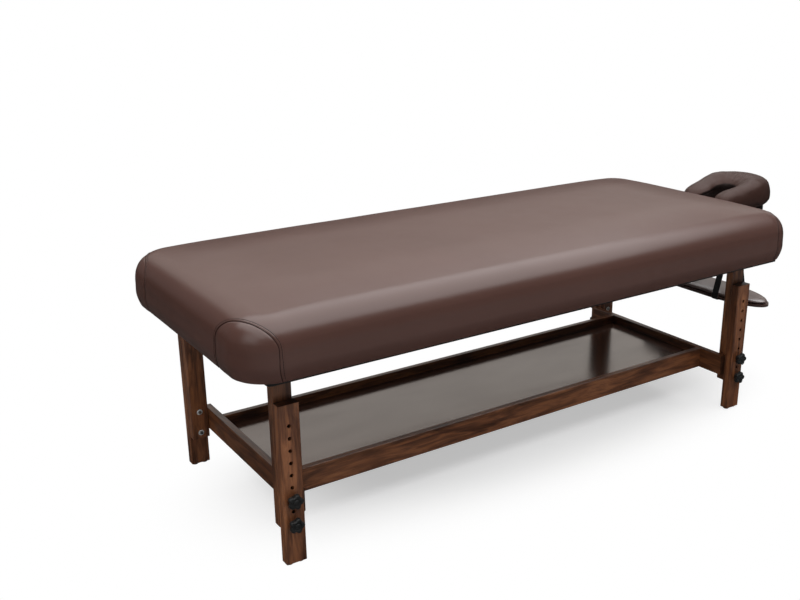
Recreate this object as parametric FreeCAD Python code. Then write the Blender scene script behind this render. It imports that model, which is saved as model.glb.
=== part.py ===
import FreeCAD, Part
import math
import os

V = FreeCAD.Vector

# Padded top, millimetres
top_length = 1850.0
top_width = 800.0
plan_corner = 104.0
hem_z = 512.0
edge_z = 652.0
edge_roll = 78.0
crown = 20.0
crown_inset = 14.0
crown_run = 250.0
crown_steps = 3
roll_steps = 3
hem_draw = 9.0
hem_rise = 36.0
cover_skin = 2.0
cover_gap = 0.3

# Sewn corner gussets
gusset_half = 87.0
gusset_spring_z = 586.0
gusset_apex_z = 643.0
gusset_offset = 20.0
gusset_arch_steps = 6

# Deck inside the top
deck_frame_depth = 34.0
deck_panel_thick = 10.0
base_panel_thick = 8.0
base_end_overhang = 45.0
base_side_overhang = 55.5
base_panel_corner = 12.0

# Legs
leg_end_inset = 105.0
leg_side_inset = 74.5
lower_leg_width = 54.0
lower_leg_thick = 28.0
upper_leg_width = 50.0
upper_leg_thick = 28.0
leg_edge_bevel = 2.0
glide_height = 6.0
glide_radius = 9.0
glide_spacing = 28.0
lower_leg_top_z = 424.0
upper_leg_foot_z = 97.0

# Height holes and locking knobs
hole_pitch = 32.0
hole_count = 9
hole_top_z = 370.0
hole_radius = 5.0
knob_rows = (6, 8)
stud_radius = 4.0
stud_tip = 5.0
running_gap = 0.05
knob_radius = 20.0
knob_shoulder_radius = 17.6
knob_valley_radius = 14.5
knob_lobes = 5
knob_shoulder_deg = 20.0
knob_tip_deg = 8.0
knob_hub_radius = 10.0
knob_hub_length = 7.0
knob_rim = 13.0

# Shelf between the legs
rail_thick = 20.0
rail_bottom_z = 119.0
rail_height = 65.0
rail_end_gap = 1.0
rail_edge_bevel = 1.5
tray_side_inset = 59.5
tray_rail_thick = 18.0
groove_depth = 6.0
groove_lift = 29.0
groove_gap = 0.3
tray_panel_thick = 10.0

# Bolts at the leg heads
bolt_radius = 4.0
bolt_head_radius = 6.5
bolt_head_length = 6.0
bolt_bite = 32.0
bore_gap = 0.1

# Black cross rails at the leg heads
cross_rail_thick = 15.0
cross_rail_drop = 9.0
slot_gap = 0.5

# Face cradle
cradle_reach = 73.0
cradle_pivot_z = 560.0
cradle_dowel_radius = 10.0
cradle_dowel_spacing = 222.0
cradle_insert = 72.0
socket_wall = 3.0
socket_length = 80.0
socket_flange_radius = 18.0
socket_flange_thick = 3.0
crossbar_reach = 19.0
crossbar_depth = 22.0
crossbar_height = 24.0
arm_inner_y = 122.0
crossbar_bevel = 3.0
arm_thick = 10.0
arm_half_width = 12.0
pivot_rod_radius = 5.0
pivot_head_radius = 9.0
pivot_head_thick = 5.0
lug_inner_y = 70.0
lug_thick = 14.0
lug_radius = 11.0
platform_thick = 10.0
platform_lift = 14.0
platform_inset = 22.0
lever_hub_radius = 9.0
lever_hub_length = 9.5
lever_thick = 12.0
lever_length = 58.0
lever_tip_radius = 7.0
lever_gap = 0.5

# Horseshoe cushion
cushion_gap = 17.0
cushion_length = 288.0
cushion_half = 126.0
cushion_tip = 42.0
cushion_taper = 14.0
cushion_slot_half = 44.0
cushion_slot_length = 160.0
cushion_thick = 96.0
cushion_top_round = 38.0
cushion_foot_round = 30.0
cushion_top_steps = 2
cushion_foot_steps = 1

# Arm sling
sling_depth = 140.0
sling_length = 530.0
sling_end = 190.0
sling_top_z = 320.0
sling_board_thick = 8.0
sling_pad_thick = 17.0
sling_pad_round = 11.0
strap_y = 105.0
strap_width = 25.0
strap_thick = 2.0
strap_gap = 0.3

# Levels and places worked out from the sizes above
end_x = top_length / 2
leg_outer_x = end_x - leg_end_inset
leg_outer_y = top_width / 2 - leg_side_inset
deck_z = hem_z + deck_frame_depth
foam_z = deck_z + deck_panel_thick
base_z = hem_z - base_panel_thick
lower_leg_foot_z = glide_height
leg_meet_y = leg_outer_y - lower_leg_thick
leg_inner_y = leg_meet_y - upper_leg_thick
leg_mid_x = leg_outer_x - upper_leg_width / 2
rail_outer_x = leg_outer_x - upper_leg_width
rail_inner_x = rail_outer_x - rail_thick
rail_top_z = rail_bottom_z + rail_height
tray_half_width = leg_inner_y - tray_side_inset
tray_inner_y = tray_half_width - tray_rail_thick
groove_z = rail_bottom_z + groove_lift
frame_mid_z = hem_z + deck_frame_depth / 2
cushion_foot_z = cradle_pivot_z + platform_lift + platform_thick
knob_heights = [hole_top_z - row * hole_pitch for row in knob_rows]
cradle_pivot_x = end_x + cradle_reach
crossbar_x = end_x + crossbar_reach
cushion_start_x = end_x + cushion_gap
cushion_end_x = cushion_start_x + cushion_length
cushion_slot_end_x = cushion_start_x + cushion_slot_length
origin_x = (cushion_end_x - end_x) / 2

os.makedirs("parts", exist_ok=True)


def save(node, *solids):
    """Write one node, moved so that the origin lies under the middle of the whole part."""
    shape = solids[0] if len(solids) == 1 else Part.makeCompound(list(solids))
    shape = shape.copy()
    shape.translate(V(-origin_x, 0, 0))
    shape.exportStep("parts/" + node + ".step")


def box(x0, x1, y0, y1, z0, z1):
    return Part.makeBox(x1 - x0, y1 - y0, z1 - z0, V(x0, y0, z0))


def mirrored(shape, sx, sy):
    """Carry a piece drawn at the head end, far side, to the corner with these signs."""
    if sx < 0:
        shape = shape.mirror(V(0, 0, 0), V(1, 0, 0))
    if sy < 0:
        shape = shape.mirror(V(0, 0, 0), V(0, 1, 0))
    return shape


def arc(a, b, c):
    return Part.Arc(a, b, c).toShape()


def line(a, b):
    return Part.LineSegment(a, b).toShape()


def edges_along(shape, axis):
    """Straight edges that run along X, Y or Z."""
    found = []
    for edge in shape.Edges:
        step = edge.Vertexes[-1].Point - edge.Vertexes[0].Point
        if step.Length > 0 and abs(abs(step.normalize().dot(axis)) - 1) < 1e-6:
            found.append(edge)
    return found


def edges_at_z(shape, z):
    return [e for e in shape.Edges if abs(e.BoundBox.ZMin - z) < 1e-4 and abs(e.BoundBox.ZMax - z) < 1e-4]


# Padded top: a slab with rounded plan corners, a rolled top edge, a drawn-in hem and a low crown
def top_outline(inset, z):
    ex = top_length / 2 - inset
    ey = top_width / 2 - inset
    r = plan_corner - inset
    bend = r * (1 - math.sqrt(0.5))
    edges = []
    for sx, sy in ((1, 1), (-1, 1), (-1, -1), (1, -1)):
        end = V(sx * ex, sy * (ey - r), z)
        side = V(sx * (ex - r), sy * ey, z)
        mid = V(sx * (ex - bend), sy * (ey - bend), z)
        if sx == sy:
            edges.append(arc(end, mid, side))
            edges.append(line(side, V(-side.x, side.y, z)))
        else:
            edges.append(arc(side, mid, end))
            edges.append(line(end, V(end.x, -end.y, z)))
    return Part.Wire(edges)


def crown_form(z):
    """Low rise on the flat of the top, steeper at its rim than in the middle."""
    rings = []
    for step in range(crown_steps + 1):
        turn = math.radians(90.0 * step / crown_steps)
        inset = edge_roll + crown_inset + crown_run * step / crown_steps
        half_x = top_length / 2 - inset
        half_y = top_width / 2 - inset
        level = z + crown * math.sin(turn)
        corners = [V(half_x, half_y, level), V(-half_x, half_y, level),
                   V(-half_x, -half_y, level), V(half_x, -half_y, level)]
        rings.append(Part.makePolygon(corners + corners[:1]))
    return Part.makeLoft(rings, True, True)


def padded_form(skin):
    """Closed form of the pad at a depth under its outer surface."""
    top_z = edge_z - skin
    roll = edge_roll - skin
    rings = [(skin + hem_draw, hem_z), (skin, hem_z + hem_rise)]
    for step in range(roll_steps + 1):
        turn = math.radians(90.0 * step / roll_steps)
        rings.append((skin + roll * (1 - math.cos(turn)), top_z - roll * (1 - math.sin(turn))))
    slab = Part.makeLoft([top_outline(inset, z) for inset, z in rings], True, True)
    return slab.fuse(crown_form(top_z))


def arch_prism(sx, sy):
    """Arched block that cuts one corner gusset out of the cover, along the corner's diagonal."""
    half = math.sqrt(0.5)
    across = V(sx * half, -sy * half, 0)
    out = V(sx * half, sy * half, 0)
    middle = V(sx * top_length / 2, sy * top_width / 2, 0) + across * gusset_offset - out * plan_corner * 2
    up = V(0, 0, 1)
    foot = up * (hem_z - cover_skin)
    points = [middle - across * gusset_half + foot]
    for step in range(gusset_arch_steps + 1):
        turn = math.radians(180.0 * step / gusset_arch_steps)
        rise = gusset_spring_z + (gusset_apex_z - gusset_spring_z) * math.sin(turn)
        points.append(middle - across * gusset_half * math.cos(turn) + up * rise)
    points.append(middle + across * gusset_half + foot)
    return Part.Face(Part.makePolygon(points + points[:1])).extrude(out * plan_corner * 3)


frame_half_x = leg_outer_x + slot_gap
frame_half_y = leg_meet_y + slot_gap
far_x = top_length
far_y = top_width
socket_outer = cradle_dowel_radius + running_gap + socket_wall
socket_places = (cradle_dowel_spacing / 2, -cradle_dowel_spacing / 2)
inner_form = padded_form(cover_skin + cover_gap)


def socket_core(y, radius, x0, x1):
    return Part.makeCylinder(radius, x1 - x0, V(x0, y, frame_mid_z), V(1, 0, 0))


cover = padded_form(0).cut(padded_form(cover_skin))
for y in socket_places:
    cover = cover.cut(socket_core(y, socket_outer + slot_gap, frame_half_x, far_x))
gussets = []
main_cover = cover
for sx in (-1, 1):
    for sy in (-1, 1):
        arch = arch_prism(sx, sy)
        gussets.append(cover.common(arch).Solids[0])
        main_cover = main_cover.cut(arch)
save("cover_main", main_cover.Solids[0])
save("cover_corner_gussets", *gussets)

# Foam, deck board and deck frame, cut to the same padded form
foam_space = box(-far_x, far_x, -far_y, far_y, foam_z, edge_z + 2 * crown)
save("foam_core", inner_form.common(foam_space).Solids[0])
deck_space = box(-far_x, far_x, -far_y, far_y, deck_z, foam_z)
save("deck_panel", inner_form.common(deck_space).Solids[0])


def along_y(x, z, radius, y0, y1):
    return Part.makeCylinder(radius, y1 - y0, V(x, y0, z), V(0, 1, 0))


bolt_tip_y = leg_meet_y + bolt_bite
bolt_bore = along_y(leg_mid_x, frame_mid_z, bolt_radius + bore_gap, leg_inner_y, bolt_tip_y + bore_gap)
side_rail = inner_form.common(box(-far_x, far_x, frame_half_y - slot_gap, far_y, hem_z, deck_z))
for sx in (-1, 1):
    side_rail = side_rail.cut(mirrored(bolt_bore, sx, 1))
for side, sy in (("near", -1), ("far", 1)):
    save("deck_side_rail_" + side, mirrored(side_rail, 1, sy))
end_block = box(frame_half_x, far_x, slot_gap - frame_half_y, frame_half_y - slot_gap, hem_z, deck_z)
end_rail = inner_form.common(end_block)
save("deck_end_rail_foot", mirrored(end_rail, -1, 1))
for y in socket_places:
    end_rail = end_rail.cut(socket_core(y, socket_outer + running_gap, end_x - socket_length, far_x))
save("deck_end_rail_head", end_rail)
bolt = along_y(leg_mid_x, frame_mid_z, bolt_radius, leg_inner_y, bolt_tip_y)
bolt = bolt.fuse(along_y(leg_mid_x, frame_mid_z, bolt_head_radius, leg_inner_y - bolt_head_length, leg_inner_y))
save("leg_head_bolts", *[mirrored(bolt, sx, sy) for sx in (-1, 1) for sy in (-1, 1)])

# Sockets that take the face cradle's dowels
sockets = []
for y in socket_places:
    tube = socket_core(y, socket_outer, end_x - socket_length, end_x)
    tube = tube.fuse(socket_core(y, socket_flange_radius, end_x, end_x + socket_flange_thick))
    sockets.append(tube.cut(socket_core(y, cradle_dowel_radius + running_gap, 0, far_x)))
save("cradle_sockets", *sockets)

# Legs
upper = box(rail_outer_x, leg_outer_x, leg_inner_y, leg_meet_y, upper_leg_foot_z, deck_z)
upper = upper.makeChamfer(leg_edge_bevel, edges_along(upper, V(0, 0, 1)))
for z in knob_heights:
    upper = upper.cut(along_y(leg_mid_x, z, stud_radius + running_gap, leg_inner_y, leg_meet_y))
upper = upper.cut(bolt_bore)

lower = box(leg_outer_x - lower_leg_width, leg_outer_x, leg_meet_y, leg_outer_y, lower_leg_foot_z, lower_leg_top_z)
lower = lower.makeChamfer(leg_edge_bevel, edges_along(lower, V(0, 0, 1)))
for row in range(hole_count):
    z = hole_top_z - row * hole_pitch
    lower = lower.cut(along_y(leg_mid_x, z, hole_radius, leg_meet_y, leg_outer_y))


def glide_pair():
    pair = []
    for shift in (-glide_spacing / 2, glide_spacing / 2):
        foot = V(leg_outer_x - lower_leg_width / 2 + shift, leg_outer_y - lower_leg_thick / 2, 0)
        pair.append(Part.makeCylinder(glide_radius, glide_height, foot))
    return pair


# Star knobs with their studs
def polar(radius, degrees):
    turn = math.radians(degrees)
    return V(radius * math.cos(turn), 0, radius * math.sin(turn))


def star_knob():
    """Lobed grip on a round hub, its axis along +Y from the leg's face."""
    pitch = 360.0 / knob_lobes
    points = []
    for lobe in range(knob_lobes):
        mid = lobe * pitch
        points.append(polar(knob_valley_radius, mid - pitch / 2))
        points.append(polar(knob_shoulder_radius, mid - knob_shoulder_deg))
        points.append(polar(knob_radius, mid - knob_tip_deg))
        points.append(polar(knob_radius, mid + knob_tip_deg))
        points.append(polar(knob_shoulder_radius, mid + knob_shoulder_deg))
    grip = Part.Face(Part.makePolygon(points + points[:1])).extrude(V(0, knob_rim, 0))
    grip.translate(V(0, knob_hub_length, 0))
    hub = along_y(0, 0, knob_hub_radius, 0, knob_hub_length)
    return grip.fuse(hub)


knob = star_knob()
for end, sx in (("foot", -1), ("head", 1)):
    for side, sy in (("near", -1), ("far", 1)):
        place = end + "_" + side
        save("upper_leg_" + place, mirrored(upper, sx, sy))
        save("lower_leg_" + place, mirrored(lower, sx, sy))
        save("foot_glides_" + place, *[mirrored(one, sx, sy) for one in glide_pair()])
        for level, z in zip(("upper", "lower"), knob_heights):
            head = knob.copy()
            head.translate(V(leg_mid_x, leg_outer_y, z))
            stud = along_y(leg_mid_x, z, stud_radius, leg_inner_y - stud_tip, leg_outer_y)
            save("knob_" + level + "_" + place, mirrored(head, sx, sy))
            save("knob_stud_" + level + "_" + place, mirrored(stud, sx, sy))

# Shelf: end rails lapped on the legs, long rails between them, panel let into grooves
groove_x = rail_inner_x + groove_depth
groove_y = tray_inner_y + groove_depth
groove = box(-groove_x, groove_x, -groove_y, groove_y, groove_z, groove_z + tray_panel_thick + groove_gap)
end_half = leg_meet_y - rail_end_gap
shelf_end = box(rail_inner_x, rail_outer_x, -end_half, end_half, rail_bottom_z, rail_top_z)
shelf_end = shelf_end.makeChamfer(rail_edge_bevel, edges_along(shelf_end, V(0, 1, 0)))
shelf_end = shelf_end.cut(groove)
long_rail = box(-rail_inner_x, rail_inner_x, tray_inner_y, tray_half_width, rail_bottom_z, rail_top_z)
long_rail = long_rail.makeChamfer(rail_edge_bevel, edges_along(long_rail, V(1, 0, 0)))
long_rail = long_rail.cut(groove)
panel_x = groove_x - groove_gap
panel_y = groove_y - groove_gap
save("shelf_end_rail_foot", mirrored(shelf_end, -1, 1))
save("shelf_end_rail_head", shelf_end)
save("shelf_long_rail_near", mirrored(long_rail, 1, -1))
save("shelf_long_rail_far", long_rail)
save("shelf_panel", box(-panel_x, panel_x, -panel_y, panel_y, groove_z, groove_z + tray_panel_thick))

# Black cross rails at the leg heads and the base panel that closes the deck
cross_inner_x = rail_outer_x - cross_rail_thick
cross_bottom_z = base_z - cross_rail_drop
cross_rail = box(cross_inner_x, rail_outer_x, -leg_meet_y, leg_meet_y, cross_bottom_z, deck_z)
save("leg_cross_rail_foot", mirrored(cross_rail, -1, 1))
save("leg_cross_rail_head", cross_rail)
base_half_x = leg_outer_x + base_end_overhang
base_half_y = leg_outer_y + base_side_overhang
base = box(-base_half_x, base_half_x, -base_half_y, base_half_y, base_z, hem_z)
base = base.makeFillet(base_panel_corner, edges_along(base, V(0, 0, 1)))
leg_slot = box(rail_outer_x - slot_gap, leg_outer_x + slot_gap, leg_inner_y - slot_gap, leg_meet_y + slot_gap,
               cross_bottom_z, hem_z)
rail_slot = box(cross_inner_x - slot_gap, rail_outer_x, -leg_meet_y - slot_gap, leg_meet_y + slot_gap,
                cross_bottom_z, hem_z)
for sx in (-1, 1):
    base = base.cut(mirrored(rail_slot, sx, 1))
    for sy in (-1, 1):
        base = base.cut(mirrored(leg_slot, sx, sy))
save("base_panel", base)

# Face cradle: dowels, crossbar, arms and the tilt rod
cradle_dowels = []
for y in socket_places:
    cradle_dowels.append(socket_core(y, cradle_dowel_radius, end_x - cradle_insert, crossbar_x))
save("cradle_dowels", *cradle_dowels)
crossbar_mid_x = crossbar_x + crossbar_depth / 2
bar_low = frame_mid_z - crossbar_height / 2
bar_high = frame_mid_z + crossbar_height / 2
crossbar = box(crossbar_x, crossbar_x + crossbar_depth, -arm_inner_y, arm_inner_y, bar_low, bar_high)
crossbar = crossbar.makeChamfer(crossbar_bevel, edges_along(crossbar, V(0, 1, 0)))


def arm_plate():
    """Slanted plate with round ends, from the crossbar up to the tilt rod."""
    foot = V(crossbar_mid_x, arm_inner_y, frame_mid_z)
    eye = V(cradle_pivot_x, arm_inner_y, cradle_pivot_z)
    run = (eye - foot).normalize()
    normal = V(-run.z, 0, run.x)
    edge = normal * arm_half_width
    tip = run * arm_half_width
    wire = Part.Wire([
        line(foot + edge, eye + edge),
        arc(eye + edge, eye + tip, eye - edge),
        line(eye - edge, foot - edge),
        arc(foot - edge, foot - tip, foot + edge)])
    return Part.Face(wire).extrude(V(0, arm_thick, 0))


eye_bore = along_y(cradle_pivot_x, cradle_pivot_z, pivot_rod_radius + running_gap, -far_y, far_y)
save("cradle_crossbar", crossbar)
arm = arm_plate().cut(eye_bore)
save("cradle_arms", arm, mirrored(arm, 1, -1))
rod_far_y = arm_inner_y + arm_thick
lever_hub_y = rod_far_y + lever_gap
rod_near_y = -(lever_hub_y + lever_hub_length + lever_thick)
pivot_rod = along_y(cradle_pivot_x, cradle_pivot_z, pivot_rod_radius, rod_near_y, rod_far_y)
pivot_head = along_y(cradle_pivot_x, cradle_pivot_z, pivot_head_radius, rod_far_y, rod_far_y + pivot_head_thick)
save("cradle_tilt_rod", pivot_rod.fuse(pivot_head))

# Clamping lever on the near end of the tilt rod
lever_hub = along_y(cradle_pivot_x, cradle_pivot_z, lever_hub_radius, rod_near_y, -lever_hub_y)
lever_tip_x = cradle_pivot_x + lever_length
lever_face = Part.Face(Part.Wire([
    line(V(cradle_pivot_x, rod_near_y, cradle_pivot_z - lever_hub_radius),
         V(lever_tip_x, rod_near_y, cradle_pivot_z - lever_tip_radius)),
    arc(V(lever_tip_x, rod_near_y, cradle_pivot_z - lever_tip_radius),
        V(lever_tip_x + lever_tip_radius, rod_near_y, cradle_pivot_z),
        V(lever_tip_x, rod_near_y, cradle_pivot_z + lever_tip_radius)),
    line(V(lever_tip_x, rod_near_y, cradle_pivot_z + lever_tip_radius),
         V(cradle_pivot_x, rod_near_y, cradle_pivot_z + lever_hub_radius)),
    line(V(cradle_pivot_x, rod_near_y, cradle_pivot_z + lever_hub_radius),
         V(cradle_pivot_x, rod_near_y, cradle_pivot_z - lever_hub_radius))]))
lever = lever_face.extrude(V(0, lever_thick, 0)).fuse(lever_hub)
lever_bore = along_y(cradle_pivot_x, cradle_pivot_z, pivot_rod_radius + running_gap, rod_near_y, 0)
save("cradle_lever", lever.cut(lever_bore))


# Horseshoe platform and cushion, open towards the top
def tangent_angle(x, y, reach):
    """Direction of the normal to a line that touches two circles, from the step between their middles."""
    return math.degrees(math.atan2(y, x) - math.acos(reach / math.hypot(x, y)))


def horseshoe(inset, z):
    outer = cushion_half - inset
    inner = cushion_slot_half + inset
    tip = cushion_tip - inset
    tip_y = cushion_half - cushion_tip - cushion_taper
    tip_x = cushion_start_x + cushion_tip
    round_x = cushion_end_x - cushion_half
    slot_x = cushion_slot_end_x - cushion_slot_half
    flank = tangent_angle(tip_x - round_x, tip_y, cushion_half - cushion_tip)
    cheek = tangent_angle(tip_x - slot_x, tip_y, cushion_slot_half + cushion_tip)
    back = cheek + 180.0
    nose = (flank + back) / 2

    def p(x, y, radius, degrees):
        turn = math.radians(degrees)
        return V(x + radius * math.cos(turn), y + radius * math.sin(turn), z)

    def bow(x, y, radius, begin, finish):
        middle = (begin + finish) / 2
        return arc(p(x, y, radius, begin), p(x, y, radius, middle), p(x, y, radius, finish))

    edges = [
        bow(round_x, 0, outer, -flank, 0),
        bow(round_x, 0, outer, 0, flank),
        line(p(round_x, 0, outer, flank), p(tip_x, tip_y, tip, flank)),
        bow(tip_x, tip_y, tip, flank, nose),
        bow(tip_x, tip_y, tip, nose, back),
        line(p(tip_x, tip_y, tip, back), p(slot_x, 0, inner, cheek)),
        bow(slot_x, 0, inner, cheek, 0),
        bow(slot_x, 0, inner, 0, -cheek),
        line(p(slot_x, 0, inner, -cheek), p(tip_x, -tip_y, tip, -back)),
        bow(tip_x, -tip_y, tip, -back, -nose),
        bow(tip_x, -tip_y, tip, -nose, -flank),
        line(p(tip_x, -tip_y, tip, -flank), p(round_x, 0, outer, -flank))]
    return Part.Wire(edges)


def cushion_form(foot_z, top_z):
    """Horseshoe pad whose lower and upper edges roll in."""
    rings = []
    for step in range(cushion_foot_steps + 1):
        turn = math.radians(90.0 * step / cushion_foot_steps)
        rings.append((cushion_foot_round * (1 - math.sin(turn)), foot_z + cushion_foot_round * (1 - math.cos(turn))))
    for step in range(cushion_top_steps + 1):
        turn = math.radians(90.0 * step / cushion_top_steps)
        rings.append((cushion_top_round * (1 - math.cos(turn)), top_z - cushion_top_round * (1 - math.sin(turn))))
    return Part.makeLoft([horseshoe(inset, z) for inset, z in rings], True, True)


platform_z = cradle_pivot_z + platform_lift
platform = Part.Face(horseshoe(platform_inset, platform_z)).extrude(V(0, 0, platform_thick))
for sy in (-1, 1):
    lug = along_y(cradle_pivot_x, cradle_pivot_z, lug_radius, lug_inner_y, lug_inner_y + lug_thick)
    stem = box(cradle_pivot_x - lug_radius, cradle_pivot_x + lug_radius, lug_inner_y, lug_inner_y + lug_thick,
               cradle_pivot_z, platform_z)
    platform = platform.fuse(mirrored(lug.fuse(stem), 1, sy))
save("cradle_platform", platform.cut(eye_bore))
save("cradle_cushion", cushion_form(cushion_foot_z, cushion_foot_z + cushion_thick))


# Arm sling: board and pad with elliptic ends, hung in two strap loops from the tilt rod
def sling_outline(inset, z):
    half_x = sling_depth / 2 - inset
    shoulder = sling_length / 2 - sling_end
    reach = sling_length / 2 - inset
    edges = []
    for sy in (-1, 1):
        tip = V(cradle_pivot_x, sy * reach, z)
        centre = V(cradle_pivot_x, sy * shoulder, z)
        flank = V(cradle_pivot_x - sy * half_x, sy * shoulder, z)
        ellipse = Part.Ellipse(tip, flank, centre)
        edges.append(Part.Arc(ellipse, -math.pi / 2, math.pi / 2).toShape())
        side_x = cradle_pivot_x + sy * half_x
        edges.append(line(V(side_x, -shoulder, z), V(side_x, shoulder, z)))
    return Part.Wire(Part.__sortEdges__(edges))


sling_pad_z = sling_top_z - sling_pad_thick
sling_board_z = sling_pad_z - sling_board_thick
save("sling_board", Part.Face(sling_outline(0, sling_board_z)).extrude(V(0, 0, sling_board_thick)))
sling_rings = (
    (0, sling_pad_z),
    (0, sling_top_z - sling_pad_round),
    (sling_pad_round / 3, sling_top_z - sling_pad_round / 3),
    (sling_pad_round, sling_top_z))
save("sling_pad", Part.makeLoft([sling_outline(inset, z) for inset, z in sling_rings], True, True))


def strap_loop(gap):
    """Closed outline round the tilt rod and under the board, at a distance from both."""
    r = pivot_rod_radius + gap
    half = sling_depth / 2 + gap
    top = sling_top_z - sling_pad_round
    low = sling_board_z - gap
    drop = cradle_pivot_z - top
    lean = math.atan2(half, drop) + math.asin(r / math.hypot(half, drop))
    rim_x = r * math.cos(lean)
    rim_z = r * math.sin(lean)

    def p(dx, z):
        return V(cradle_pivot_x + dx, 0, z)

    edges = [
        arc(p(-rim_x, cradle_pivot_z + rim_z), p(0, cradle_pivot_z + r), p(rim_x, cradle_pivot_z + rim_z)),
        line(p(rim_x, cradle_pivot_z + rim_z), p(half, top)),
        line(p(half, top), p(half, low)),
        line(p(half, low), p(-half, low)),
        line(p(-half, low), p(-half, top)),
        line(p(-half, top), p(-rim_x, cradle_pivot_z + rim_z))]
    return Part.Face(Part.Wire(edges))


strap = strap_loop(strap_gap + strap_thick).cut(strap_loop(strap_gap)).extrude(V(0, strap_width, 0))
strap.translate(V(0, strap_y - strap_width / 2, 0))
save("sling_straps", strap, mirrored(strap, 1, -1))
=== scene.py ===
import math

import bmesh
import bpy
import numpy as np
from mathutils import Matrix, Vector, geometry, kdtree, noise
from mathutils.bvhtree import BVHTree


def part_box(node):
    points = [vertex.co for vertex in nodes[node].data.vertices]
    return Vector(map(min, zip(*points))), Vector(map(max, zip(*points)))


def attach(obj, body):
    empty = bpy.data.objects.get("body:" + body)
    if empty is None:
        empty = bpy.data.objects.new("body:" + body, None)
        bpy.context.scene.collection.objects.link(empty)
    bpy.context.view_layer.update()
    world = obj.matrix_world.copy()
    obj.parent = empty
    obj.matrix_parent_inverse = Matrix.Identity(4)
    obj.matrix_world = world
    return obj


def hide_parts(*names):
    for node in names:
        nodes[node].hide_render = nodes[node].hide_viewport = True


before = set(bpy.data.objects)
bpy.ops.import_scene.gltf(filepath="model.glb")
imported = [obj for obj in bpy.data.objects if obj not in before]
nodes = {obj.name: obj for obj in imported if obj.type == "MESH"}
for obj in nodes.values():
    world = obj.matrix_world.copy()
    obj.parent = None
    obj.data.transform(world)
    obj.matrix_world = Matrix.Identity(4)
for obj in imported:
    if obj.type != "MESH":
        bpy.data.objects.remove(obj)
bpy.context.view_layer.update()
scene = bpy.context.scene
scene.view_settings.view_transform = "Standard"

SIDES = (("near", -1), ("far", 1))
CORNERS = [(end + "_" + side, sx, sy)
           for end, sx in (("foot", -1), ("head", 1)) for side, sy in SIDES]
MM, TINY = 0.001, 1e-6      # all lengths are in metres unless a comment says mm


def placed(name, data):
    """New object in the scene."""
    made = bpy.data.objects.new(name, data)
    scene.collection.objects.link(made)
    return made


# ---- camera at the photograph's place
camera_data = bpy.data.cameras.new("camera")
camera_data.sensor_fit = "HORIZONTAL"
camera_data.sensor_width = 36.0
camera_data.lens = 43.77
camera_data.shift_x = -0.03125
camera_data.shift_y = 0.00625
camera_data.clip_end = 1000.0
camera = placed("camera", camera_data)
camera.matrix_world = Matrix((
    (0.8315203, 0.1833202, -0.5243736, -1.8124),
    (-0.5554474, 0.2621145, -0.7891604, -2.1986),
    (-0.0072231, 0.9474649, 0.3197782, 1.3510),
    (0.0, 0.0, 0.0, 1.0)))
scene.camera = camera


# ---- node-tree helpers
class Nodes:
    """A shader tree. Values set sockets directly, sockets make links."""

    def __init__(self, tree):
        self.tree = tree
        self.tree.nodes.clear()

    def add(self, kind, inputs=None, **settings):
        node = self.tree.nodes.new("ShaderNode" + kind)
        for key, value in settings.items():
            setattr(node, key, value)
        for key, value in (inputs or {}).items():
            if isinstance(value, bpy.types.NodeSocket):
                self.tree.links.new(value, node.inputs[key])
            elif node.inputs[key].type == "RGBA":
                node.inputs[key].default_value = (*value, 1.0)
            else:
                node.inputs[key].default_value = value
        return node

    def out(self, kind, inputs, **settings):
        return self.add(kind, inputs, **settings).outputs[0]

    def times(self, a, b):
        return self.math("MULTIPLY", a, b)

    def math(self, operation, a, b=0.0):
        return self.out("Math", {0: a, 1: b}, operation=operation)

    def ray_kinds(self):
        """Camera rays with what is seen through clear things, and mirrored rays."""
        path = self.add("LightPath").outputs
        direct = self.math("MAXIMUM", path["Is Camera Ray"], path["Is Transmission Ray"])
        return direct, path["Is Glossy Ray"]


class Look(Nodes):
    """One procedural material."""

    def __init__(self, name):
        self.material = bpy.data.materials.new(name)
        self.material.use_nodes = True
        super().__init__(self.material.node_tree)
        self.place = self.add("TexCoord").outputs["Object"]

    def part_of(self, vector, axis):
        return self.add("SeparateXYZ", {0: vector}).outputs[axis]

    def facing(self, axis):
        return self.part_of(self.add("TexCoord").outputs["Normal"], axis)

    def attribute(self, name):
        return self.add("Attribute", attribute_name=name).outputs["Fac"]

    def stretch(self, vector, scale):
        return self.out("Mapping", {"Vector": vector, "Scale": scale})

    def noise(self, scale, detail=2.0, roughness=0.5, distortion=0.0, at=None):
        at = self.place if at is None else at
        return self.out("TexNoise", {"Vector": at, "Scale": scale, "Detail": detail,
                                     "Roughness": roughness, "Distortion": distortion})

    def span(self, value, low, high, to_low=0.0, to_high=1.0):
        return self.out("MapRange", {0: value, 1: low, 2: high, 3: to_low, 4: to_high},
                        interpolation_type="SMOOTHSTEP")

    def mix(self, factor, a, b):
        return self.add("Mix", {0: factor, 6: a, 7: b}, data_type="RGBA").outputs[2]

    def bump(self, height, strength, distance, normal=None):
        inputs = {"Height": height, "Strength": strength, "Distance": distance}
        if normal is not None:
            inputs["Normal"] = normal
        return self.out("Bump", inputs)

    def finish(self, base, rough, normal, **inputs):
        inputs.update(Base_Color=base, Roughness=rough, Normal=normal)
        names = {key.replace("_", " "): value for key, value in inputs.items()}
        return self.surface(self.out("BsdfPrincipled", names))

    def surface(self, shader):
        self.add("OutputMaterial", {"Surface": shader})
        return self.material


def shaded(tone, factor):
    return tuple(factor * value for value in tone)


def grey(value):
    return (value, value, value)


# ---- materials
PEBBLES, FOLDS, SPECKS = 620.0, 46.0, 420.0
# Near-black painted shade for the inside of the headrest's slot, which lies in shadow.
SLOT_PAINTED_SHADE = (0.012, 0.0075, 0.0065)


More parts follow.
